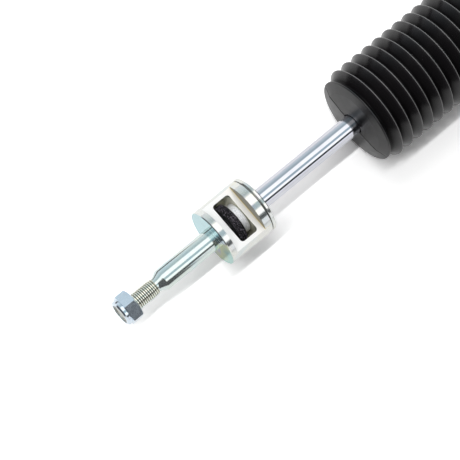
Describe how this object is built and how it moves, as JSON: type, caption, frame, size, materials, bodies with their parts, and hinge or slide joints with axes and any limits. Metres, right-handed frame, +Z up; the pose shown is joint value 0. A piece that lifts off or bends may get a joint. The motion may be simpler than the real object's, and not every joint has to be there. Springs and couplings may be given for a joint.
{
  "type": "shock absorber",
  "caption": "Telescopic shock absorber with a rubber-bushed lower eye, a bellows boot over its chromed rod, a finger-wheel damping adjuster and a threaded stud with a lock nut.",
  "frame": {"origin": "centre of the lower eye's bore", "axes": "+X along the rod towards the threaded stud, +Y along the lower eye's bore, +Z up through the adjuster window"},
  "size_m": [0.6356, 0.0598, 0.0598],
  "materials": {
    "zinc_plate": "bright zinc plate with a faint green and yellow cast",
    "rod_chrome": "ground and hard-chromed, mirror bright",
    "black_rubber": "moulded, satin black",
    "body_paint": "satin black paint",
    "bright_steel": "machined steel",
    "sintered_iron": "fine granular sintered surface",
    "bearing_bronze": "turned bronze",
    "wheel_black": "black with a fine knurl",
    "white_nylon": "natural nylon",
    "gasket_fibre": "dark fibre sheet"
  },
  "bodies": {
    "body": {"reserve_tube": "body_paint", "base_cap": "body_paint", "eye_ring": "body_paint", "eye_bush": "black_rubber", "pressure_tube": "bright_steel", "foot_valve_body": "sintered_iron", "foot_stop": "bright_steel", "foot_bolt": "bright_steel", "foot_nut": "bright_steel", "compression_shims": "bright_steel", "intake_spring": "bright_steel", "rod_guide": "sintered_iron", "guide_bush": "bearing_bronze", "rod_seal": "black_rubber", "guide_o_ring": "black_rubber", "gland_nut": "bright_steel", "rod_wiper": "black_rubber", "bump_stop": "black_rubber", "boot": "black_rubber", "boot_clip": "zinc_plate"},
    "eye_sleeve": {"eye_sleeve": "zinc_plate"},
    "intake_plate": {"intake_plate": "bright_steel"},
    "piston_ring": {"piston_ring": "white_nylon"},
    "rod": {"piston_rod": "rod_chrome", "piston": "sintered_iron", "piston_nut": "bright_steel", "piston_washer": "bright_steel", "rebound_shims": "bright_steel", "backing_washer": "bright_steel", "check_spring": "bright_steel", "rebound_stop": "bright_steel", "rebound_bumper": "black_rubber", "cover_plate": "zinc_plate", "cover_gasket": "gasket_fibre", "adjuster_housing": "zinc_plate", "mounting_stud": "zinc_plate", "detent_ball": "bright_steel", "detent_spring": "bright_steel", "stop_pin": "bright_steel", "lock_nut": "zinc_plate", "lock_nut_insert": "white_nylon"},
    "check_plate": {"check_plate": "bright_steel"},
    "adjuster": {"adjuster_wheel": "wheel_black", "adjuster_hub": "sintered_iron", "control_rod": "bright_steel", "control_o_ring": "black_rubber", "metering_valve": "bearing_bronze"}
  },
  "joints": [
    {"name": "rod_slide", "type": "slide", "parent": "body", "child": "piston_ring", "axis": [1, 0, 0], "range_m": [-0.18, 0], "stiffness_N_per_m": 150, "springref_m": 0.7, "deforming": ["boot"]},
    {"name": "rod_spin", "type": "hinge", "parent": "piston_ring", "child": "rod", "pos_m": [0.3, 0, 0], "axis": [1, 0, 0], "continuous": true},
    {"name": "adjuster_turn", "type": "hinge", "parent": "rod", "child": "adjuster", "pos_m": [0.5394, 0, 0], "axis": [1, 0, 0], "range_deg": [0, 320]},
    {"name": "eye_twist", "type": "hinge", "parent": "body", "child": "eye_sleeve", "pos_m": [0, 0, 0], "axis": [0, 1, 0], "range_deg": [-20, 20], "stiffness_Nm_per_rad": 20},
    {"name": "intake_lift", "type": "slide", "parent": "body", "child": "intake_plate", "axis": [1, 0, 0], "range_m": [0, 0.0012], "stiffness_N_per_m": 300, "springref_m": -0.003, "deforming": ["intake_spring"]},
    {"name": "check_lift", "type": "slide", "parent": "rod", "child": "check_plate", "axis": [1, 0, 0], "range_m": [0, 0.0012], "stiffness_N_per_m": 300, "springref_m": -0.003, "deforming": ["check_spring"]}
  ]
}
